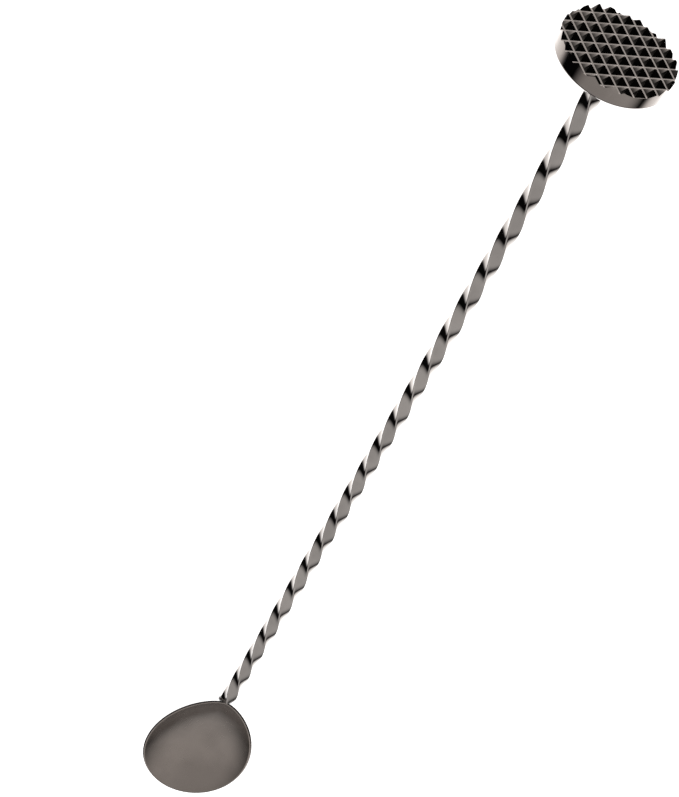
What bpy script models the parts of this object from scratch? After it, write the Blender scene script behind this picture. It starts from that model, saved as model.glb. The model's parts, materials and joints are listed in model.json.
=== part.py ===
"""Muddler: a bar spoon with a twisted square stem and a spiked muddling head.

Units are metres. Each piece is modelled in the stem's own frame: +X runs along the stem from the
tip of the bowl, x = 0, to the head, and +Z points out of the open side of the bowl. The empty
"rest_pose" then lays the finished spoon down on z = 0, on the rim of the head and the back of the bowl.
"""

import math

import bmesh
import bpy
from mathutils import Matrix, Vector

MM = 0.001
FULL_TURN = 2 * math.pi
QUARTER_TURN = math.pi / 2

# Clearance left between pieces that the filler metal joins.
JOINT_GAP = 0.2 * MM

# Bowl: a teardrop outline, pressed from sheet, with a flat rim.
BOWL_LENGTH = 45.7 * MM
BOWL_WIDTH = 29.7 * MM
BOWL_DEPTH = 5.5 * MM
BOWL_WALL = 0.8 * MM
BOWL_TAPER = 0.27              # 0 gives an ellipse, 1 a pointed tip
BOWL_FULLNESS = 2.3            # exponent of the hollow's section
BOWL_DEEPEST = 0.55            # share of the length from the tip to the deepest point
BOWL_LIFT = math.radians(2.3)  # the far end rises from the line of the stem
BOWL_POINTS = 44
BOWL_RINGS = (1.0, 0.95, 0.86, 0.73, 0.56, 0.37, 0.18)

# Stem: a square bar twisted left-handed, a little unevenly.
BAR_SIDE = 3.1 * MM
BAR_CORNER = 0.25 * MM
QUARTER_TWIST_LENGTH = 10.56 * MM
TWIST_START = math.radians(28.1)
TWIST_SWAY = math.radians(9.8)
TWIST_SWAY_LENGTH = 138.0 * MM
TWIST_SWAY_START = math.radians(-106.6)
BAR_STEP = 1.6 * MM
STEM_START = 0.3 * MM          # the bar stops just short of the tip of the bowl
HEEL_LENGTH = 2.6 * MM         # over this length the bar is pressed down to the height of the rim
HEEL_SHARE = 0.6               # what is left of its height at the end
HEEL_FLOOR = -1.6 * MM         # the level it is pressed towards

# Head: a turned disc with a domed back, its face milled into square spikes.
FACE_X = 250.0 * MM            # the floor of the grooves
HEAD_RADIUS = 12.85 * MM
HEAD_SIDE = 2.7 * MM           # straight side behind the groove floor
HEAD_DEPTH = 6.4 * MM          # groove floor to the back of the dome
DOME_FULLNESS = 1.8
DOME_STEPS = 6
HEAD_SEGMENTS = 48
GROOVE_PITCH = 3.05 * MM
GROOVE_FLOOR = 0.35 * MM
SPIKE_FLAT = 0.2 * MM
SPIKE_HEIGHT = (GROOVE_PITCH - GROOVE_FLOOR - SPIKE_FLAT) / 2   # the sides slope at 45 degrees
GRID_ANGLE = math.radians(25.9)
GRID_SHIFTS = (0.487, 0.238)   # from the head's centre to a groove, in pitches, for the two ways

# Spigot of the stem, and its blind bore in the back of the head.
SPIGOT_RADIUS = 1.25 * MM
SPIGOT_LENGTH = 4.0 * MM
BORE_DEPTH = SPIGOT_LENGTH + 2 * JOINT_GAP

# Filler metal.
HEAD_BRAZE_RADIUS = 3.4 * MM
HEAD_BRAZE_LENGTH = 1.3 * MM
HEAD_BRAZE_BRIM = 0.3 * MM
HEAD_BRAZE_STEPS = 4
BRAZE_SEGMENTS = 20
BOWL_BRAZE_RADII = (2.8 * MM, 2.6 * MM, 2.2 * MM)
BOWL_BRAZE_CENTRE = (-1.0 * MM, 0.0, -0.8 * MM)
RIM_SPACE = 8 * MM

CUTTER_OVERRUN = 0.02 * MM
SHARP_ANGLE = math.radians(30)
STEEPEST_REST = math.radians(10)
REST_HALVINGS = 50

BOWL_COLOR = (0.228, 0.196, 0.176, 1.0)
STEM_COLOR = (0.324, 0.297, 0.279, 1.0)
HEAD_COLOR = (0.228, 0.200, 0.182, 1.0)
BOWL_ROUGHNESS = 0.12
STEM_ROUGHNESS = 0.10
HEAD_ROUGHNESS = 0.14
FILLER_ROUGHNESS = 0.25


def clear_scene():
    for item in list(bpy.data.objects):
        bpy.data.objects.remove(item, do_unlink=True)


def metal(name, color, roughness):
    material = bpy.data.materials.new(name)
    material.use_nodes = True
    shader = material.node_tree.nodes["Principled BSDF"]
    shader.inputs["Base Color"].default_value = color
    shader.inputs["Metallic"].default_value = 1.0
    shader.inputs["Roughness"].default_value = roughness
    return material


def new_object(name, shape):
    """Turn a closed bmesh into an object with outward faces, smooth but for its sharp edges."""
    bmesh.ops.recalc_face_normals(shape, faces=shape.faces)
    mesh = bpy.data.meshes.new(name)
    shape.to_mesh(mesh)
    shape.free()
    mesh.shade_smooth()
    mesh.set_sharp_from_angle(angle=SHARP_ANGLE)
    item = bpy.data.objects.new(name, mesh)
    bpy.context.scene.collection.objects.link(item)
    return item


def new_cutter(name, shape):
    item = new_object(name, shape)
    item.hide_render = True
    item.display_type = "WIRE"
    return item


def subtract(item, cutter):
    modifier = item.modifiers.new("cut by " + cutter.name, "BOOLEAN")
    modifier.operation = "DIFFERENCE"
    modifier.solver = "EXACT"
    modifier.object = cutter


def loft(shape, rings):
    """Bridge rings of points, all with the same count, and cap the first and the last."""
    loops = [[shape.verts.new(point) for point in ring] for ring in rings]
    count = len(loops[0])
    for near, far in zip(loops, loops[1:]):
        for i in range(count):
            j = (i + 1) % count
            shape.faces.new((near[i], near[j], far[j], far[i]))
    shape.faces.new(reversed(loops[0]))
    shape.faces.new(loops[-1])


def circle(x, radius, segments):
    angles = [FULL_TURN * i / segments for i in range(segments)]
    return [(x, radius * math.cos(a), radius * math.sin(a)) for a in angles]


# ---- bowl ----

def teardrop(angle):
    """Point of the bowl's outline in the plane of its rim. The tip is at angle 0."""
    widest = math.acos(-BOWL_TAPER / (2 + BOWL_TAPER))

    def bulge(a):
        return math.sin(a) * abs(math.sin(a / 2)) ** BOWL_TAPER

    x = -BOWL_LENGTH * (1 - math.cos(angle)) / 2
    y = BOWL_WIDTH / 2 * bulge(angle) / bulge(widest)
    return Vector((x, y, 0))


def rim_outline(grow):
    """The teardrop, moved outward by grow along its own normal."""
    small_angle = 0.01
    points = []
    for i in range(BOWL_POINTS):
        angle = FULL_TURN * (i + 0.5) / BOWL_POINTS
        along = teardrop(angle + small_angle) - teardrop(angle - small_angle)
        outward = Vector((along.y, -along.x, 0)).normalized()
        points.append(teardrop(angle) + grow * outward)
    return points


def bowl_surface(outline, depth):
    """Rings of the bowl's hollow or back, from the rim down to the flat at its lowest point."""
    centre = Vector((-BOWL_DEEPEST * BOWL_LENGTH, 0, 0))
    rings = []
    for share in BOWL_RINGS:
        drop = Vector((0, 0, -depth * (1 - share ** BOWL_FULLNESS)))
        rings.append([centre + share * (point - centre) + drop for point in outline])
    return rings


def build_spoon_bowl():
    back = bowl_surface(rim_outline(0), BOWL_DEPTH + BOWL_WALL)
    hollow = bowl_surface(rim_outline(-BOWL_WALL), BOWL_DEPTH)
    shape = bmesh.new()
    loft(shape, list(reversed(back)) + hollow)
    return new_object("spoon_bowl", shape)


def build_bowl_clearance():
    """The bowl without its hollow, grown by the joint gap. It trims what is joined to the bowl."""
    back = bowl_surface(rim_outline(JOINT_GAP), BOWL_DEPTH + BOWL_WALL + 2 * JOINT_GAP)
    lid = [point + Vector((0, 0, JOINT_GAP)) for point in back[0]]
    shape = bmesh.new()
    loft(shape, list(reversed(back)) + [lid])
    return new_cutter("bowl_clearance", shape)


# ---- stem ----

def twist_angle(x):
    """Angle of a corner of the bar about the stem's axis. It falls as x grows: a left-handed twist."""
    even = TWIST_START - QUARTER_TURN * x / QUARTER_TWIST_LENGTH
    sway = TWIST_SWAY * math.sin(FULL_TURN * x / TWIST_SWAY_LENGTH + TWIST_SWAY_START)
    return even + sway


def heel_share(x):
    """How much of the bar's height is left at x, near the bowl."""
    place = min(1.0, max(0.0, (x - STEM_START) / (HEEL_LENGTH - STEM_START)))
    return HEEL_SHARE + (1 - HEEL_SHARE) * place * place * (3 - 2 * place)


def bar_section(x, grow):
    """The square bar's section at x, with cut corners and mid-face points, grown by a clearance."""
    face = BAR_SIDE / 2 + grow
    edge = BAR_SIDE / 2 - BAR_CORNER
    points = []
    for corner in range(4):
        turned = Matrix.Rotation(twist_angle(x) + corner * QUARTER_TURN - QUARTER_TURN / 2, 3, "X")
        points += [turned @ Vector((x, face, place)) for place in (0, edge)]
        points.append(turned @ Vector((x, edge, face)))
    for point in points:
        point.z = HEEL_FLOOR + (point.z - HEEL_FLOOR) * heel_share(x)
    return points


def twisted_rings(start, end, grow=0.0):
    steps = math.ceil((end - start) / BAR_STEP)
    return [bar_section(start + (end - start) * i / steps, grow) for i in range(steps + 1)]


def build_twisted_stem():
    shoulder = FACE_X - HEAD_DEPTH - JOINT_GAP
    rings = twisted_rings(STEM_START, shoulder)
    corner_angles = [math.atan2(point.z, point.y) for point in rings[-1]]
    for x in (shoulder, shoulder + SPIGOT_LENGTH):
        rings.append([(x, SPIGOT_RADIUS * math.cos(a), SPIGOT_RADIUS * math.sin(a)) for a in corner_angles])
    shape = bmesh.new()
    loft(shape, rings)
    return new_object("twisted_stem", shape)


def build_stem_clearance(name, start, end):
    shape = bmesh.new()
    loft(shape, twisted_rings(start, end, JOINT_GAP))
    return new_cutter(name, shape)


# ---- head ----

def dome_profile():
    """(x, radius) points from the back of the dome to the straight side."""
    depth = HEAD_DEPTH - HEAD_SIDE
    points = []
    for step in range(1, DOME_STEPS + 1):
        angle = QUARTER_TURN * step / DOME_STEPS
        rise = depth * math.cos(angle) ** (2 / DOME_FULLNESS)
        radius = HEAD_RADIUS * math.sin(angle) ** (2 / DOME_FULLNESS)
        points.append((FACE_X - HEAD_SIDE - rise, radius))
    return points


def build_muddler_head():
    bore_radius = SPIGOT_RADIUS + JOINT_GAP
    back = FACE_X - HEAD_DEPTH
    profile = [(back + BORE_DEPTH, bore_radius), (back, bore_radius), (back, BAR_SIDE / 2)]
    profile += dome_profile()
    profile += [(FACE_X + SPIKE_HEIGHT, HEAD_RADIUS)]
    shape = bmesh.new()
    loft(shape, [circle(x, radius, HEAD_SEGMENTS) for x, radius in profile])
    head = new_object("muddler_head", shape)
    for way, shift in enumerate(GRID_SHIFTS):
        subtract(head, build_groove_cutter(way, shift))
    return head


def build_groove_cutter(way, shift):
    """Parallel V-grooves with flat floors, all milled the same way across the face."""
    floor = GROOVE_FLOOR / 2
    rim = SPIKE_HEIGHT + CUTTER_OVERRUN
    top = 2 * SPIKE_HEIGHT
    mouth = floor + rim
    section = ((floor, 0), (mouth, rim), (mouth, top), (-mouth, top), (-mouth, rim), (-floor, 0))
    reach = HEAD_RADIUS + GROOVE_PITCH
    across = Matrix.Rotation(GRID_ANGLE + way * QUARTER_TURN, 4, "X")
    shape = bmesh.new()
    lines = math.ceil(HEAD_RADIUS / GROOVE_PITCH)
    for line in range(-lines, lines + 1):
        place = (line + shift) * GROOVE_PITCH
        if abs(place) - mouth > HEAD_RADIUS:
            continue
        ends = []
        for end in (-reach, reach):
            ends.append([across @ Vector((FACE_X + height, place + side, end)) for side, height in section])
        loft(shape, ends)
    return new_cutter("groove_cutter_%d" % way, shape)


# ---- filler metal ----

def build_head_braze():
    """A concave fillet round the bar, against the back of the dome."""
    foot = FACE_X - HEAD_DEPTH - JOINT_GAP
    brim = foot - HEAD_BRAZE_BRIM
    neck = BAR_SIDE / math.sqrt(2) + JOINT_GAP
    rings = [circle(foot, HEAD_BRAZE_RADIUS, BRAZE_SEGMENTS)]
    for step in range(HEAD_BRAZE_STEPS + 1):
        angle = QUARTER_TURN * step / HEAD_BRAZE_STEPS
        radius = HEAD_BRAZE_RADIUS - (HEAD_BRAZE_RADIUS - neck) * math.sin(angle)
        x = brim - HEAD_BRAZE_LENGTH * (1 - math.cos(angle))
        rings.append(circle(x, radius, BRAZE_SEGMENTS))
    shape = bmesh.new()
    loft(shape, rings)
    braze = new_object("head_braze", shape)
    length = HEAD_BRAZE_BRIM + HEAD_BRAZE_LENGTH
    subtract(braze, build_stem_clearance("stem_clearance_at_head", foot - 2 * length, foot + length))
    return braze


def build_above_rim():
    """The space over the rim of the bowl, which the filler metal leaves clean."""
    shape = bmesh.new()
    bmesh.ops.create_cube(shape, size=RIM_SPACE)
    bmesh.ops.translate(shape, vec=(0, 0, RIM_SPACE / 2 - JOINT_GAP), verts=shape.verts)
    return new_cutter("above_rim", shape)


def build_bowl_braze(bowl_clearance):
    """A small fillet under the end of the bar, against the back of the bowl's tip."""
    shape = bmesh.new()
    bmesh.ops.create_uvsphere(shape, u_segments=BRAZE_SEGMENTS, v_segments=BRAZE_SEGMENTS // 2, radius=1.0)
    size = Matrix.Diagonal(Vector((*BOWL_BRAZE_RADII, 1.0)))
    bmesh.ops.transform(shape, matrix=Matrix.Translation(BOWL_BRAZE_CENTRE) @ size, verts=shape.verts)
    braze = new_object("bowl_braze", shape)
    subtract(braze, build_stem_clearance("stem_clearance_at_bowl", -RIM_SPACE, RIM_SPACE))
    subtract(braze, build_above_rim())
    subtract(braze, bowl_clearance)
    return braze


# ---- assembly ----

def heights_at(points, tilt):
    return [p.x * math.sin(tilt) + p.z * math.cos(tilt) for p in points]


def lay_down(pieces, bowl, head):
    """Tilt the spoon until the head's rim and the bowl's back touch one level, and centre it there."""
    def corners(item):
        return [item.matrix_local @ vertex.co for vertex in item.data.vertices]

    low, high = 0.0, STEEPEST_REST
    for _ in range(REST_HALVINGS):
        tilt = (low + high) / 2
        if min(heights_at(corners(head), tilt)) < min(heights_at(corners(bowl), tilt)):
            low = tilt
        else:
            high = tilt
    everything = [point for item in pieces for point in corners(item)]
    lowest = min(heights_at(everything, tilt))
    lengthways = [p.x * math.cos(tilt) - p.z * math.sin(tilt) for p in everything]
    rest_pose = bpy.data.objects.new("rest_pose", None)
    bpy.context.scene.collection.objects.link(rest_pose)
    rest_pose.location = (-(min(lengthways) + max(lengthways)) / 2, 0, -lowest)
    rest_pose.rotation_euler = (0, -tilt, 0)
    return rest_pose


def main():
    clear_scene()
    bowl = build_spoon_bowl()
    bowl_clearance = build_bowl_clearance()
    stem = build_twisted_stem()
    head = build_muddler_head()
    head_braze = build_head_braze()
    bowl_braze = build_bowl_braze(bowl_clearance)

    for item in (bowl, bowl_clearance):
        item.rotation_euler = (0, BOWL_LIFT, 0)
    bpy.context.view_layer.update()

    finishes = {
        bowl: metal("bowl_metal", BOWL_COLOR, BOWL_ROUGHNESS),
        stem: metal("stem_metal", STEM_COLOR, STEM_ROUGHNESS),
        head: metal("head_metal", HEAD_COLOR, HEAD_ROUGHNESS),
        head_braze: metal("head_filler", STEM_COLOR, FILLER_ROUGHNESS),
        bowl_braze: metal("bowl_filler", STEM_COLOR, FILLER_ROUGHNESS),
    }
    for item, finish in finishes.items():
        item.data.materials.append(finish)

    rest_pose = lay_down(list(finishes), bowl, head)
    for item in bpy.data.objects:
        if item is not rest_pose:
            item.parent = rest_pose


main()
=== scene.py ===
"""Looks for the muddler: a bar spoon with a twisted square stem and a spiked muddling head.

Every piece is built in the stem's own frame: +X runs along the stem from the tip of the bowl, x = 0,
to the head, and +Z points out of the open side of the bowl. stem_to_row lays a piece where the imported
frame has it. Lengths are metres.
"""

import json
import math

import bmesh
import bpy
from mathutils import Matrix, Quaternion, Vector


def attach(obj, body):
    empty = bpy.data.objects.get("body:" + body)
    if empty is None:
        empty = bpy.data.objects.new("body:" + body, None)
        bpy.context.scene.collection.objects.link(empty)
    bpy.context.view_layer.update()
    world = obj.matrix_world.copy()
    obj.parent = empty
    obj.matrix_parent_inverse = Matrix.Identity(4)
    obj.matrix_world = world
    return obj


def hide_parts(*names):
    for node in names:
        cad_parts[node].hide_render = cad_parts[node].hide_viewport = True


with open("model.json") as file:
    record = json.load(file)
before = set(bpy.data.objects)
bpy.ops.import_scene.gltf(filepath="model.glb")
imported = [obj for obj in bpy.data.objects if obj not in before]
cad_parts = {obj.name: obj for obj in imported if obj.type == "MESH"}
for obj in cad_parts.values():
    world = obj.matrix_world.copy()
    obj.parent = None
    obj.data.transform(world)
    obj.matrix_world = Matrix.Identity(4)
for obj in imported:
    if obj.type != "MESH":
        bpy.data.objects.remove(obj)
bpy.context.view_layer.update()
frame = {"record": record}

MM = 0.001
FULL_TURN = 2 * math.pi
QUARTER_TURN = math.pi / 2
UP = Vector((0, 0, 1))

# Bowl: a pressed teardrop with a flat rim, chamfered outside and nearly sharp inside.
BOWL_LENGTH = 45.7 * MM
BOWL_WIDTH = 29.7 * MM
BOWL_DEPTH = 5.5 * MM
BOWL_WALL = 0.8 * MM
BOWL_TAPER = 0.27
TIP_SOFTNESS = 0.002         # rounds the very tip of the teardrop
BOWL_FULLNESS = 2.3
BOWL_DEEPEST = 0.55
BOWL_LIFT = math.radians(2.3)
BOWL_POINTS = 240
BOWL_RINGS = 48
OUTLINE_STEP = 0.004         # angle over which the direction of the outline is measured
RIM_WEAR = 0.4
BOWL_SHARP = math.radians(40)
RIM_FLAT = 0.28 * MM
RIM_CHAMFER = 0.3 * MM
LIP_ROUND = 0.05 * MM
LIP_STEPS = 3

# Stem: a square bar twisted left-handed, pressed down to the rim at its heel by the bowl.
BAR_SIDE = 3.1 * MM
BAR_ROUND = 0.28 * MM
BAR_ROUND_STEPS = 5
BAR_FACE_STEPS = 6
BAR_STEP = 0.25 * MM
QUARTER_TWIST_LENGTH = 10.56 * MM
TWIST_START = math.radians(28.1)
TWIST_SWAY = math.radians(9.8)
TWIST_SWAY_LENGTH = 138.0 * MM
TWIST_SWAY_START = math.radians(-106.6)
STEM_START = 0.3 * MM
HEEL_LENGTH = 2.6 * MM
HEEL_SHARE = 0.6
HEEL_FLOOR = -1.6 * MM
# Darkening of the bar's flanks near the bowl: full up to the first x, gone at the second, and starting this
# far from the top corner.
JOINT_DARK_FULL = 1.2 * MM
JOINT_DARK_END = 2.4 * MM
JOINT_DARK_SIDE_START = 0.35 * MM
CORNER_WEAR_START = 0.955     # share of the corner's radius
BAR_SHARP = math.radians(35)

# Head: a turned disc with a domed back, its face milled into square spikes.
FACE_X = 250.0 * MM
HEAD_RADIUS = 12.85 * MM
HEAD_SIDE = 2.7 * MM
HEAD_DEPTH = 6.4 * MM
DOME_FULLNESS = 1.8
DOME_STEPS = 40
HEAD_SEGMENTS = 240
GROOVE_PITCH = 3.05 * MM
GROOVE_FLOOR = 0.35 * MM
SPIKE_FLAT = 0.2 * MM
SPIKE_HEIGHT = (GROOVE_PITCH - GROOVE_FLOOR - SPIKE_FLAT) / 2
SPIKE_ROUND = 0.05 * MM
SPIKE_ROUND_STEPS = 3
SOFT_EDGE = math.radians(20)  # edges that bend more than this are rounded
TIP_WEAR = 0.2                # share of a spike's height, from the tip down
HEAD_SHARP = math.radians(12)
ON_FLOOR = 0.02 * MM
GRID_ANGLE = math.radians(25.9)
GRID_SHIFTS = (0.487, 0.238)
SPIGOT_RADIUS = 1.25 * MM
SPIGOT_LENGTH = 4.0 * MM
BORE_GAP = 0.05 * MM

# Filler metal.
SINK = 0.05 * MM
FILLET_SKIN = 0.015 * MM
FILLET_STEPS = 10
INSIDE_BAR = 1.35 * MM
HEAD_FILLET_RADIUS = 3.4 * MM
HEAD_FILLET_LENGTH = 1.6 * MM
FILLET_SHARP = math.radians(40)
# (x, blend from the bar's section to an ellipse, its half width, half height and centre height), in mm
BOWL_FILLET_RINGS = (
    (2.0, 0.0, 1.8, 1.8, 0.0),
    (1.3, 0.25, 1.85, 1.4, -0.5),
    (0.7, 0.6, 1.9, 1.2, -0.85),
    (0.2, 1.0, 2.05, 1.1, -1.2),
    (-0.6, 1.0, 2.1, 0.95, -1.4),
    (-1.6, 1.0, 1.9, 0.7, -1.75),
    (-2.6, 1.0, 1.2, 0.4, -2.0),
)

# Reflectance at normal incidence.
BOWL_TINT = (0.228, 0.196, 0.176)
STEM_TINT = (0.324, 0.297, 0.279)
HEAD_TINT = (0.228, 0.200, 0.182)
FILLER_TINT = (0.04, 0.037, 0.035)

# Finish. Noise scales are per metre. A range is the part of a noise that is stretched to 0 and 1.
BOWL_ROUGHNESS = 0.19
STEM_ROUGHNESS = 0.06
HEAD_ROUGHNESS = 0.08
FILLER_ROUGHNESS = 0.12
BOWL_GRAIN = (500.0, 7000.0, 7000.0)
STEM_GRAIN = (500.0, 9000.0, 9000.0)
HEAD_GRAIN = (9000.0, 500.0, 500.0)
PAINTED_GROOVE_SHADE = 0.55            # brightness left where the painted shade at the foot of the spikes is full
# brightness left where the bar's flanks are darkened near the bowl
JOINT_DARK_BRIGHTNESS = 0.12
CLOUD_SCALE = 55.0
SMEAR_SCALE = (90.0, 160.0, 130.0)
SMEAR_TURN = (0.3, 0.2, 0.7)
WEAR_SCALE = 420.0
SCRATCH_CELLS = (60.0, 900.0, 900.0)
SCRATCH_WIDTH = 0.012
SCRATCH_BREAKS = (0.55, 0.68)
PATCHES = (0.35, 0.65)
SMEARS = (0.35, 0.75)
# (direction of a family of scratches, scale of the noise that breaks them up)
SCRATCHES = (((0.2, 0.5, 0.4), 150.0), ((1.1, 0.3, 2.0), 224.0), ((0.6, 1.4, 1.2), 312.0))
TINT_SPREAD = 0.10
WORN_GAIN = 1.5
WORN_LIFT = 0.05
WORN_SHARE = 0.55
SMEAR_GAIN = 1.55
SCRATCH_ROUGHNESS = 0.10
WORN_ROUGHNESS = 0.06
GRAIN_HEIGHT = 0.5
SCRATCH_HEIGHT = -0.6
BUMP_STRENGTH = 0.25
BUMP_DISTANCE = 0.000004

# Studio.
FLOOR_HALF = 30.0
TABLE_GLOW = 1.1
TABLE_LIGHT_LOW = 1.9
TABLE_LIGHT_DEEP = 3.0
WALL_LIGHT = 0.006
TABLE_COLOR = (0.9, 0.9, 0.9, 1.0)
TABLE_ROUGHNESS = 0.9
WHITE = (1.0, 1.0, 1.0, 1.0)
LOW_RANGE = (-0.10, -0.42)    # how far down a direction points where the table's light begins and is full
DEEP_RANGE = (-0.35, -0.95)
AHEAD_RISE = 0.24             # how much sooner the light begins towards +X
AHEAD_SHADE = 0.25            # how much weaker it is there
SIDE_RISE = 0.31              # how much sooner it begins towards -Y
SOFTBOX_AT = (math.radians(189), math.radians(60))   # azimuth and height
SOFTBOX_DISTANCE = 0.65
SOFTBOX_CORE = 0.42
SOFTBOX_RADIUS = 1.2
SOFTBOX_SEGMENTS = 64
SOFTBOX_LIGHT = 0.83

# Camera, in the stem's frame.
CAMERA_LENS = 105.12
CAMERA_SENSOR = 36
CAMERA_CLIP = (0.01, 50)
CAMERA_AT = Vector((517.895, 102.932, 380.234)) * MM
CAMERA_TURN = Quaternion((0.772067, -0.281582, 0.275277, -0.498846))


# ---- shapes ----

def stem_to_row(record):
    """The stem's frame in the row frame, from the mount on the tip of the middle spike."""
    mount = next(m for m in record["mounts"] if m["name"] == "muddling_face")
    axis = Vector(mount["axis"])
    turn = Matrix.Rotation(-math.atan2(axis.z, axis.x), 4, "Y")
    tip = over_grid(GRID_SHIFTS[0] - 0.5, GRID_SHIFTS[1] - 0.5, SPIKE_HEIGHT)
    return Matrix.Translation(Vector(mount["pos_m"]) - (turn @ tip)) @ turn


def over_grid(u, v, height):
    """A point over the groove floor, placed in pitches along the two ways of the grid."""
    place = Matrix.Rotation(GRID_ANGLE, 3, "X") @ Vector((0, u * GROOVE_PITCH, v * GROOVE_PITCH))
    return Vector((FACE_X + height, place.y, place.z))


def mark_points(mesh, name, share):
    """Store a share from 0 to 1 at each point, for the finish to use."""
    marks = mesh.attributes.new(name, "FLOAT", "POINT")
    for vertex, mark in zip(mesh.vertices, marks.data):
        mark.value = share(vertex.co)


def new_piece(name, shape, matrix, sharp=None, wear=None, painted_shade_and_joint_dark=None):
    bmesh.ops.recalc_face_normals(shape, faces=shape.faces)
    mesh = bpy.data.meshes.new(name)
    shape.to_mesh(mesh)
    shape.free()
    if wear is not None:
        mark_points(mesh, "wear", wear)
    if painted_shade_and_joint_dark is not None:
        mark_points(mesh, "painted_shade_and_joint_dark", painted_shade_and_joint_dark)
    mesh.transform(matrix)
    mesh.shade_smooth()
    if sharp is not None:
        mesh.set_sharp_from_angle(angle=sharp)
    item = bpy.data.objects.new(name, mesh)
    bpy.context.scene.collection.objects.link(item)
    return item


def loft(shape, rings, start_point=None, end_point=None, wrap=False):
    """Bridge rings of points. Each end is closed by a fan to a point, or by one face, or wraps round."""
    loops = [[shape.verts.new(point) for point in ring] for ring in rings]
    count = len(loops[0])
    for near, far in zip(loops, loops[1:] + loops[:1] if wrap else loops[1:]):
        for i in range(count):
            j = (i + 1) % count
            shape.faces.new((near[i], near[j], far[j], far[i]))
    if wrap:
        return
    for loop, point in ((loops[0], start_point), (loops[-1], end_point)):
        if point is None:
            shape.faces.new(loop)
            continue
        middle = shape.verts.new(point)
        for i in range(count):
            shape.faces.new((loop[i], loop[(i + 1) % count], middle))


def fade(value, low, high):
    """0 below low, 1 above high, straight between them."""
    return min(1.0, max(0.0, (value - low) / (high - low)))


def circle(x, radius):
    angles = [FULL_TURN * i / HEAD_SEGMENTS for i in range(HEAD_SEGMENTS)]
    return [Vector((x, radius * math.cos(a), radius * math.sin(a))) for a in angles]


# ---- bowl ----

def teardrop(angle):
    """Point of the bowl's outline in the plane of its rim. The tip is at angle 0."""
    widest = math.acos(-BOWL_TAPER / (2 + BOWL_TAPER))

    def bulge(a):
        return math.sin(a) * (math.sin(a / 2) ** 2 + TIP_SOFTNESS) ** (BOWL_TAPER / 2)

    x = -BOWL_LENGTH * (1 - math.cos(angle)) / 2
    y = BOWL_WIDTH / 2 * bulge(angle) / bulge(widest)
    return Vector((x, y, 0))


def bowl_sheet(edge, bottom, centre):
    """Rings from an edge down to the bowl's bottom, closer together near the edge."""
    rings = []
    for step in range(BOWL_RINGS, 0, -1):
        share = math.sin(QUARTER_TURN * step / BOWL_RINGS)
        ring = []
        for point in edge:
            level = bottom + (point.z - bottom) * share ** BOWL_FULLNESS
            flat = centre + share * (Vector((point.x, point.y, 0)) - centre)
            ring.append(Vector((flat.x, flat.y, level)))
        rings.append(ring)
    return rings


def build_bowl(matrix):
    """The hollow, the rim and the back of the bowl, as one closed sheet."""
    centre = Vector((-BOWL_DEEPEST * BOWL_LENGTH, 0, 0))
    edges = []
    for i in range(BOWL_POINTS):
        angle = FULL_TURN * (i + 0.5) / BOWL_POINTS
        along = teardrop(angle + OUTLINE_STEP) - teardrop(angle - OUTLINE_STEP)
        edges.append((teardrop(angle), Vector((along.y, -along.x, 0)).normalized()))
    rim = []
    lip_centre = RIM_CHAMFER + RIM_FLAT
    for step in range(LIP_STEPS + 1):
        turn = QUARTER_TURN * step / LIP_STEPS
        inward = lip_centre + LIP_ROUND * math.cos(turn)
        rim.append([p - inward * out - LIP_ROUND * (1 - math.sin(turn)) * UP for p, out in edges])
    rim.append([p - RIM_CHAMFER * out for p, out in edges])
    rim.append([p - RIM_CHAMFER * UP for p, out in edges])
    hollow = bowl_sheet(rim[0], -BOWL_DEPTH, centre)
    back = bowl_sheet(rim[-1], -BOWL_DEPTH - BOWL_WALL, centre)
    shape = bmesh.new()
    inside_floor = centre - BOWL_DEPTH * UP
    loft(shape, hollow[::-1] + rim[1:] + back[1:], inside_floor, inside_floor - BOWL_WALL * UP)
    lift = Matrix.Rotation(BOWL_LIFT, 4, "Y")
    return new_piece("bowl_of_spoon", shape, matrix @ lift, BOWL_SHARP,
                     lambda point: RIM_WEAR * fade(point.z, -RIM_CHAMFER, 0.0))


# ---- stem ----

def twist_angle(x):
    """Angle of a corner of the bar about the stem's axis. It falls as x grows: a left-handed twist."""
    even = TWIST_START - QUARTER_TURN * x / QUARTER_TWIST_LENGTH
    sway = TWIST_SWAY * math.sin(FULL_TURN * x / TWIST_SWAY_LENGTH + TWIST_SWAY_START)
    return even + sway


def heel_share(x):
    """How much of the bar's height is left at x: it is pressed down to the rim near the bowl."""
    place = fade(x, STEM_START, HEEL_LENGTH)
    return HEEL_SHARE + (1 - HEEL_SHARE) * place * place * (3 - 2 * place)


def bar_section(x, grow=0.0):
    """The bar's section at x: four flat faces with a rounded corner after each."""
    face = BAR_SIDE / 2
    edge = face - BAR_ROUND
    points = []
    for corner in range(4):
        turned = Matrix.Rotation(twist_angle(x) + corner * QUARTER_TURN - QUARTER_TURN / 2, 3, "X")
        for step in range(BAR_FACE_STEPS):
            points.append(turned @ Vector((x, face + grow, edge * (2 * step / BAR_FACE_STEPS - 1))))
        for step in range(BAR_ROUND_STEPS):
            turn = QUARTER_TURN * step / BAR_ROUND_STEPS
            reach = BAR_ROUND + grow
            points.append(turned @ Vector((x, edge + reach * math.cos(turn), edge + reach * math.sin(turn))))
    for point in points:
        point.z = HEEL_FLOOR + (point.z - HEEL_FLOOR) * heel_share(x)
    return points


def joint_darkening(point):
    """The flanks of the bar are darkened where it meets the bowl. Its top corner is left undarkened."""
    near_bowl = 1 - fade(point.x, JOINT_DARK_FULL, JOINT_DARK_END)
    return near_bowl * fade(abs(point.y), JOINT_DARK_SIDE_START, 2 * JOINT_DARK_SIDE_START)


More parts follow.
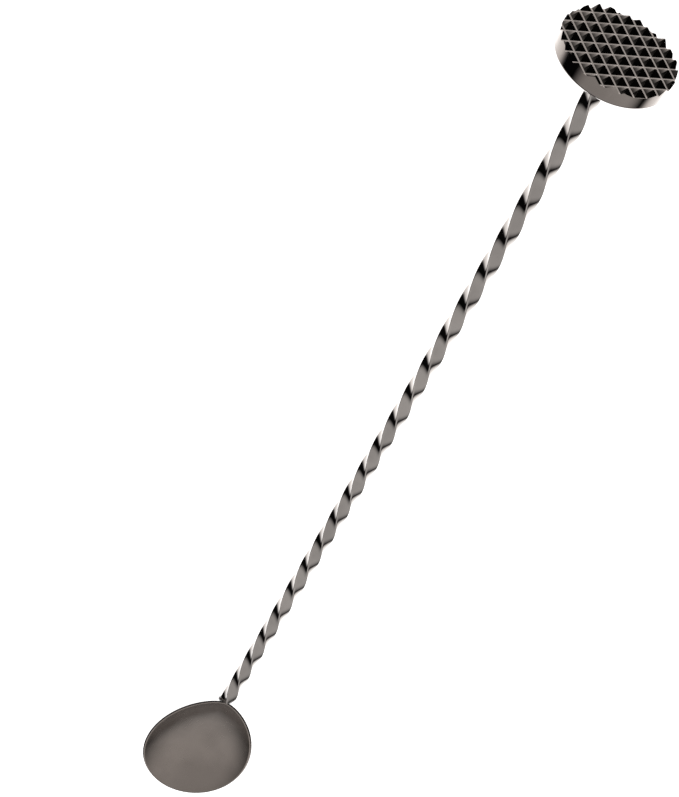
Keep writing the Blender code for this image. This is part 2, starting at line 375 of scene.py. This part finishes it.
def build_stem(matrix):
    shoulder = FACE_X - HEAD_DEPTH
    steps = math.ceil((shoulder - STEM_START) / BAR_STEP)
    rings = []
    for i in range(steps + 1):
        rings.append(bar_section(STEM_START + (shoulder - STEM_START) * i / steps))
    around = [Vector((0, p.y, p.z)).normalized() for p in rings[-1]]
    for x in (shoulder, shoulder + SPIGOT_LENGTH):
        rings.append([Vector((x, 0, 0)) + SPIGOT_RADIUS * way for way in around])
    shape = bmesh.new()
    loft(shape, rings)
    corner = math.sqrt(2) * (BAR_SIDE / 2 - BAR_ROUND) + BAR_ROUND
    worn_from = CORNER_WEAR_START * corner
    return new_piece("twisted_bar", shape, matrix, BAR_SHARP,
                     lambda point: fade(math.hypot(point.y, point.z), worn_from, corner), joint_darkening)


# ---- head ----

def dome_profile():
    """(x, radius) points from the back of the dome to the straight side."""
    depth = HEAD_DEPTH - HEAD_SIDE
    points = []
    for step in range(1, DOME_STEPS + 1):
        angle = QUARTER_TURN * step / DOME_STEPS
        rise = depth * max(math.cos(angle), 0.0) ** (2 / DOME_FULLNESS)
        radius = HEAD_RADIUS * math.sin(angle) ** (2 / DOME_FULLNESS)
        points.append((FACE_X - HEAD_SIDE - rise, radius))
    return points


def build_spike_block():
    """The milled face as a closed block wider than the head, with the spikes' edges softened."""
    reach = math.ceil(HEAD_RADIUS / GROOVE_PITCH) + 1
    floor = GROOVE_FLOOR / 2 / GROOVE_PITCH
    tip = floor + SPIKE_HEIGHT / GROOVE_PITCH
    lines = []
    for line in range(-reach, reach):
        lines += [(line + floor, False), (line + tip, True)]
        lines += [(line + 1 - tip, True), (line + 1 - floor, False)]
    count = len(lines)
    shape = bmesh.new()
    grid = []
    for u, u_high in lines:
        row = []
        for v, v_high in lines:
            height = SPIKE_HEIGHT if u_high and v_high else 0.0
            row.append(shape.verts.new(over_grid(u + GRID_SHIFTS[0], v + GRID_SHIFTS[1], height)))
        grid.append(row)
    for i in range(count - 1):
        for j in range(count - 1):
            places = ((i, j), (i + 1, j), (i + 1, j + 1), (i, j + 1))
            corners = [grid[a][b] for a, b in places]
            tops = [lines[a][1] and lines[b][1] for a, b in places]
            if sum(tops) == 1:
                k = tops.index(True)
                shape.faces.new((corners[k], corners[(k + 1) % 4], corners[(k + 2) % 4]))
                shape.faces.new((corners[k], corners[(k + 2) % 4], corners[(k + 3) % 4]))
            else:
                shape.faces.new(corners)
    shape.normal_update()
    halfway = FACE_X + SPIKE_HEIGHT / 2
    soft = []
    for edge in shape.edges:
        high = max(vertex.co.x for vertex in edge.verts) > halfway
        if high and edge.is_manifold and edge.calc_face_angle(0) > SOFT_EDGE:
            soft.append(edge)
    bmesh.ops.bevel(shape, geom=soft, offset=SPIKE_ROUND, segments=SPIKE_ROUND_STEPS, profile=0.5,
                    affect="EDGES", clamp_overlap=False)
    rim = [edge for edge in shape.edges if edge.is_boundary]
    for part in bmesh.ops.extrude_edge_only(shape, edges=rim)["geom"]:
        if isinstance(part, bmesh.types.BMVert):
            part.co.x = FACE_X - 2 * HEAD_DEPTH
    bmesh.ops.holes_fill(shape, edges=[edge for edge in shape.edges if edge.is_boundary])
    return shape


def painted_groove_shade(point):
    """Painted shade at the foot of the spikes: full where a groove meets the foot of a spike, none on the
    tips and on the outside of the head.
    """
    on_floor = abs(point.x - FACE_X) < ON_FLOOR
    inside = math.hypot(point.y, point.z) < HEAD_RADIUS - ON_FLOOR
    return 1.0 if on_floor and inside else 0.0


def build_head(matrix):
    """The turned disc with its bore, cut back to the milled face."""
    back = FACE_X - HEAD_DEPTH
    bore = SPIGOT_RADIUS + BORE_GAP
    profile = [(back + SPIGOT_LENGTH + BORE_GAP, bore), (back, bore), (back, BAR_SIDE / 2)]
    profile += dome_profile()
    profile += [(FACE_X + 2 * SPIKE_HEIGHT, HEAD_RADIUS)]
    shape = bmesh.new()
    loft(shape, [circle(x, radius) for x, radius in profile])
    head = new_piece("head_with_spikes", shape, Matrix())
    cutter = new_piece("milled_face", build_spike_block(), Matrix())
    cut = head.modifiers.new("milled face", "BOOLEAN")
    cut.operation = "INTERSECT"
    cut.solver = "EXACT"
    cut.object = cutter
    graph = bpy.context.evaluated_depsgraph_get()
    mesh = bpy.data.meshes.new_from_object(head.evaluated_get(graph))
    head.modifiers.clear()
    head.data = mesh
    bpy.data.objects.remove(cutter, do_unlink=True)
    tips = FACE_X + SPIKE_HEIGHT
    mark_points(mesh, "wear", lambda point: fade(point.x, tips - TIP_WEAR * SPIKE_HEIGHT, tips))
    # painted shade: darkens the groove floors and, fading upwards, the feet of the spikes
    mark_points(mesh, "painted_shade_and_joint_dark", painted_groove_shade)
    mesh.transform(matrix)
    mesh.shade_smooth()
    mesh.set_sharp_from_angle(angle=HEAD_SHARP)
    return head


def dome_x(radius):
    """Where the back of the dome is at a radius."""
    share = (1 - (radius / HEAD_RADIUS) ** DOME_FULLNESS) ** (1 / DOME_FULLNESS)
    return FACE_X - HEAD_SIDE - (HEAD_DEPTH - HEAD_SIDE) * share


# ---- filler metal ----

def build_head_fillet(matrix):
    """A concave fillet that runs from the bar's own section out to a circle on the dome."""
    foot = dome_x(HEAD_FILLET_RADIUS) + SINK
    rings = []
    for step in range(FILLET_STEPS + 1):
        turn = QUARTER_TURN * step / FILLET_STEPS
        x = foot - HEAD_FILLET_LENGTH * (1 - math.sin(turn))
        spread = 1 - math.cos(turn)
        ring = []
        for point in bar_section(x, FILLET_SKIN):
            flat = Vector((0, point.y, point.z))
            ring.append(Vector((x, 0, 0)) + flat.lerp(HEAD_FILLET_RADIUS * flat.normalized(), spread))
        rings.append(ring)
    around = [Vector((0, point.y, point.z)).normalized() for point in rings[0]]
    for x in (foot + SINK, foot - HEAD_FILLET_LENGTH):
        rings.append([Vector((x, 0, 0)) + INSIDE_BAR * way for way in around])
    shape = bmesh.new()
    loft(shape, rings, wrap=True)
    return new_piece("fillet_at_head", shape, matrix, FILLET_SHARP)


def build_bowl_fillet(matrix):
    """Filler that runs from the bar's section down to the back of the bowl's tip, under the rim."""
    rings = []
    for x, blend, wide, high, level in BOWL_FILLET_RINGS:
        ring = []
        for point in bar_section(x * MM, FILLET_SKIN):
            flat = Vector((0, point.y, point.z))
            way = flat.normalized()
            target = Vector((0, wide * MM * way.y, level * MM + high * MM * way.z))
            ring.append(Vector((x * MM, 0, 0)) + flat.lerp(target, blend))
        rings.append(ring)
    shape = bmesh.new()
    loft(shape, rings)
    return new_piece("fillet_at_bowl", shape, matrix, FILLET_SHARP)


# ---- finishes ----

class Nodes:
    """Small helper that adds nodes to a tree and links plain values or other nodes' sockets to them."""

    def __init__(self, tree):
        self.tree = tree
        tree.nodes.clear()

    def add(self, kind, inputs=(), output=0, **settings):
        node = self.tree.nodes.new(kind)
        for key, value in settings.items():
            setattr(node, key, value)
        for key, value in dict(inputs).items():
            if isinstance(value, bpy.types.NodeSocket):
                self.tree.links.new(value, node.inputs[key])
            else:
                node.inputs[key].default_value = value
        return node.outputs[output] if node.outputs else None

    def math(self, operation, first, second=0.0):
        return self.add("ShaderNodeMath", {0: first, 1: second}, operation=operation)

    def ramp(self, value, low, high, to_low=0.0, to_high=1.0):
        return self.add("ShaderNodeMapRange", {"Value": value, "From Min": low, "From Max": high,
                                               "To Min": to_low, "To Max": to_high},
                        interpolation_type="SMOOTHSTEP")

    def mix(self, share, first, second):
        return self.add("ShaderNodeMix", {"Factor": share, 6: first, 7: second}, output=2, data_type="RGBA")

    def noise(self, place, scale, detail=3.0, roughness=0.55):
        return self.add("ShaderNodeTexNoise", {"Vector": place, "Scale": scale, "Detail": detail,
                                               "Roughness": roughness})

    def stretched(self, place, scale, turn=(0.0, 0.0, 0.0)):
        return self.add("ShaderNodeMapping", {"Vector": place, "Scale": scale, "Rotation": turn})


def opaque(tint, gain, lift=0.0):
    return tuple(min(1.0, gain * share + lift) for share in tint) + (1.0,)


def scratch_lines(nodes, place):
    """Hairline scratches in a few directions, each broken up along its length."""
    scratches = None
    for turn, scale in SCRATCHES:
        cells = nodes.stretched(place, SCRATCH_CELLS, turn)
        cell = nodes.add("ShaderNodeTexVoronoi", {"Vector": cells, "Scale": 1.0, "Randomness": 1.0},
                         feature="DISTANCE_TO_EDGE")
        line = nodes.ramp(cell, 0.0, SCRATCH_WIDTH, 1.0, 0.0)
        broken = nodes.ramp(nodes.noise(place, scale, 2.0), *SCRATCH_BREAKS)
        line = nodes.math("MULTIPLY", line, broken)
        scratches = line if scratches is None else nodes.math("MAXIMUM", scratches, line)
    return scratches


def gunmetal(name, tint, roughness, grain, shade_and_joint_dark_share=PAINTED_GROOVE_SHADE):
    """Polished dark metal: polishing lines along its grain, hairline scratches, faint smears,
    worn edges, and painted shade in the grooves (on the stem, a darkening near the bowl)."""
    material = bpy.data.materials.new(name)
    material.use_nodes = True
    nodes = Nodes(material.node_tree)
    place = nodes.add("ShaderNodeTexCoord", output="Object")
    cloud = nodes.noise(place, CLOUD_SCALE, 4.0)
    lines = nodes.noise(nodes.stretched(place, grain), 1.0, 2.0)
    smear = nodes.noise(nodes.stretched(place, SMEAR_SCALE, SMEAR_TURN), 1.0, 5.0, 0.65)
    scratch = scratch_lines(nodes, place)
    wear = nodes.add("ShaderNodeAttribute", attribute_name="wear", output="Fac")
    worn = nodes.math("MULTIPLY", wear, nodes.ramp(nodes.noise(place, WEAR_SCALE), *PATCHES))
    # painted shade at the feet of the head's spikes; on the stem, the darkening of the flanks near the bowl
    painted_shade_and_joint_dark = nodes.add("ShaderNodeAttribute", attribute_name="painted_shade_and_joint_dark", output="Fac")

    dark, light = opaque(tint, 1 - TINT_SPREAD), opaque(tint, 1 + TINT_SPREAD)
    color = nodes.mix(nodes.ramp(cloud, *PATCHES), dark, light)
    color = nodes.mix(nodes.math("MULTIPLY", worn, WORN_SHARE), color, opaque(tint, WORN_GAIN, WORN_LIFT))
    color = nodes.mix(painted_shade_and_joint_dark, color, opaque(tint, shade_and_joint_dark_share))

    rough = nodes.ramp(smear, *SMEARS, roughness, roughness * SMEAR_GAIN)
    rough = nodes.math("ADD", rough, nodes.math("MULTIPLY", scratch, SCRATCH_ROUGHNESS))
    rough = nodes.math("ADD", rough, nodes.math("MULTIPLY", worn, WORN_ROUGHNESS))

    height = nodes.math("ADD", nodes.math("MULTIPLY", lines, GRAIN_HEIGHT),
                        nodes.math("MULTIPLY", scratch, SCRATCH_HEIGHT))
    bump = nodes.add("ShaderNodeBump", {"Height": height, "Strength": BUMP_STRENGTH,
                                        "Distance": BUMP_DISTANCE})
    shader = nodes.add("ShaderNodeBsdfPrincipled", {"Base Color": color, "Metallic": 1.0,
                                                    "Roughness": rough, "Normal": bump})
    nodes.add("ShaderNodeOutputMaterial", {"Surface": shader})
    return material


# ---- studio ----

def new_stage(name, shape):
    mesh = bpy.data.meshes.new(name)
    shape.to_mesh(mesh)
    shape.free()
    item = bpy.data.objects.new(name, mesh)
    bpy.context.scene.collection.objects.link(item)
    return item


def build_floor():
    """A white table. The metal reflects the light of the world in its place."""
    shape = bmesh.new()
    bmesh.ops.create_grid(shape, x_segments=1, y_segments=1, size=FLOOR_HALF)
    item = new_stage("floor", shape)
    item.visible_glossy = False
    material = bpy.data.materials.new("white_table")
    material.use_nodes = True
    nodes = Nodes(material.node_tree)
    shader = nodes.add("ShaderNodeBsdfPrincipled", {"Base Color": TABLE_COLOR, "Roughness": TABLE_ROUGHNESS,
                                                    "Emission Color": WHITE, "Emission Strength": TABLE_GLOW})
    nodes.add("ShaderNodeOutputMaterial", {"Surface": shader})
    item.data.materials.append(material)


def build_softbox():
    """A round soft light over the back of the spoon, brightest in the middle."""
    azimuth, height = SOFTBOX_AT
    level = math.cos(height)
    way = Vector((level * math.cos(azimuth), level * math.sin(azimuth), math.sin(height)))
    shape = bmesh.new()
    bmesh.ops.create_circle(shape, cap_ends=True, segments=SOFTBOX_SEGMENTS, radius=SOFTBOX_RADIUS)
    item = new_stage("softbox", shape)
    item.location = SOFTBOX_DISTANCE * way
    item.rotation_mode = "QUATERNION"
    item.rotation_quaternion = way.to_track_quat("Z", "Y")
    item.visible_camera = False
    item.visible_shadow = False
    material = bpy.data.materials.new("softbox_cloth")
    material.use_nodes = True
    nodes = Nodes(material.node_tree)
    place = nodes.add("ShaderNodeTexCoord", output="Object")
    away = nodes.add("ShaderNodeVectorMath", {0: place}, output="Value", operation="LENGTH")
    glow = nodes.ramp(away, SOFTBOX_CORE, SOFTBOX_RADIUS, SOFTBOX_LIGHT, 0.0)
    light = nodes.add("ShaderNodeEmission", {"Color": WHITE, "Strength": glow})
    nodes.add("ShaderNodeOutputMaterial", {"Surface": light})
    item.data.materials.append(material)


def build_world():
    """Dark walls, and the light that comes up from the table. What the lens sees past the table is white."""
    world = bpy.data.worlds.new("studio")
    world.use_nodes = True
    bpy.context.scene.world = world
    nodes = Nodes(world.node_tree)
    way = nodes.add("ShaderNodeTexCoord", output="Generated")
    parts = nodes.tree.nodes.new("ShaderNodeSeparateXYZ")
    nodes.tree.links.new(way, parts.inputs[0])
    up = parts.outputs["Z"]
    ahead = nodes.math("MAXIMUM", parts.outputs["X"], 0.0)
    slant = nodes.math("ADD", up, nodes.math("MULTIPLY", ahead, AHEAD_RISE))
    aside = nodes.math("MINIMUM", parts.outputs["Y"], 0.0)
    slant = nodes.math("ADD", slant, nodes.math("MULTIPLY", aside, SIDE_RISE))
    low = nodes.ramp(slant, *LOW_RANGE, 0.0, TABLE_LIGHT_LOW)
    deep = nodes.ramp(slant, *DEEP_RANGE, 0.0, TABLE_LIGHT_DEEP - TABLE_LIGHT_LOW)
    shade = nodes.math("SUBTRACT", 1.0, nodes.math("MULTIPLY", ahead, AHEAD_SHADE))
    table = nodes.math("MULTIPLY", nodes.math("ADD", low, deep), shade)
    light = nodes.math("ADD", table, WALL_LIGHT)
    lens = nodes.add("ShaderNodeLightPath", output="Is Camera Ray")
    strength = nodes.add("ShaderNodeMix", {"Factor": lens, 2: light, 3: 1.0}, output=0)
    back = nodes.add("ShaderNodeBackground", {"Color": WHITE, "Strength": strength})
    nodes.add("ShaderNodeOutputWorld", {"Surface": back})


def build_camera(matrix):
    camera = bpy.data.cameras.new("photo_view")
    camera.sensor_width = CAMERA_SENSOR
    camera.lens = CAMERA_LENS
    camera.clip_start, camera.clip_end = CAMERA_CLIP
    item = bpy.data.objects.new("photo_view", camera)
    item.matrix_world = matrix @ Matrix.Translation(CAMERA_AT) @ CAMERA_TURN.to_matrix().to_4x4()
    bpy.context.scene.collection.objects.link(item)
    bpy.context.scene.camera = item


def main():
    matrix = stem_to_row(frame["record"])
    bowl_metal = gunmetal("bowl_finish", BOWL_TINT, BOWL_ROUGHNESS, BOWL_GRAIN)
    stem_metal = gunmetal("stem_finish", STEM_TINT, STEM_ROUGHNESS, STEM_GRAIN, JOINT_DARK_BRIGHTNESS)
    head_metal = gunmetal("head_finish", HEAD_TINT, HEAD_ROUGHNESS, HEAD_GRAIN)
    filler_metal = gunmetal("filler_finish", FILLER_TINT, FILLER_ROUGHNESS, BOWL_GRAIN)
    pieces = (
        (build_bowl(matrix), "spoon_bowl", "bowl_metal", bowl_metal),
        (build_stem(matrix), "twisted_stem", "stem_metal", stem_metal),
        (build_head(matrix), "muddler_head", "head_metal", head_metal),
        (build_bowl_fillet(matrix), "bowl_braze", "bowl_filler", filler_metal),
        (build_head_fillet(matrix), "head_braze", "head_filler", filler_metal),
    )
    for piece, node, slot, finish in pieces:
        piece.data.materials.clear()
        piece.data.materials.append(finish)
        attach(piece, "root")
        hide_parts(node)
    build_floor()
    build_softbox()
    build_world()
    build_camera(matrix)
    bpy.context.scene.view_settings.view_transform = "Standard"


main()
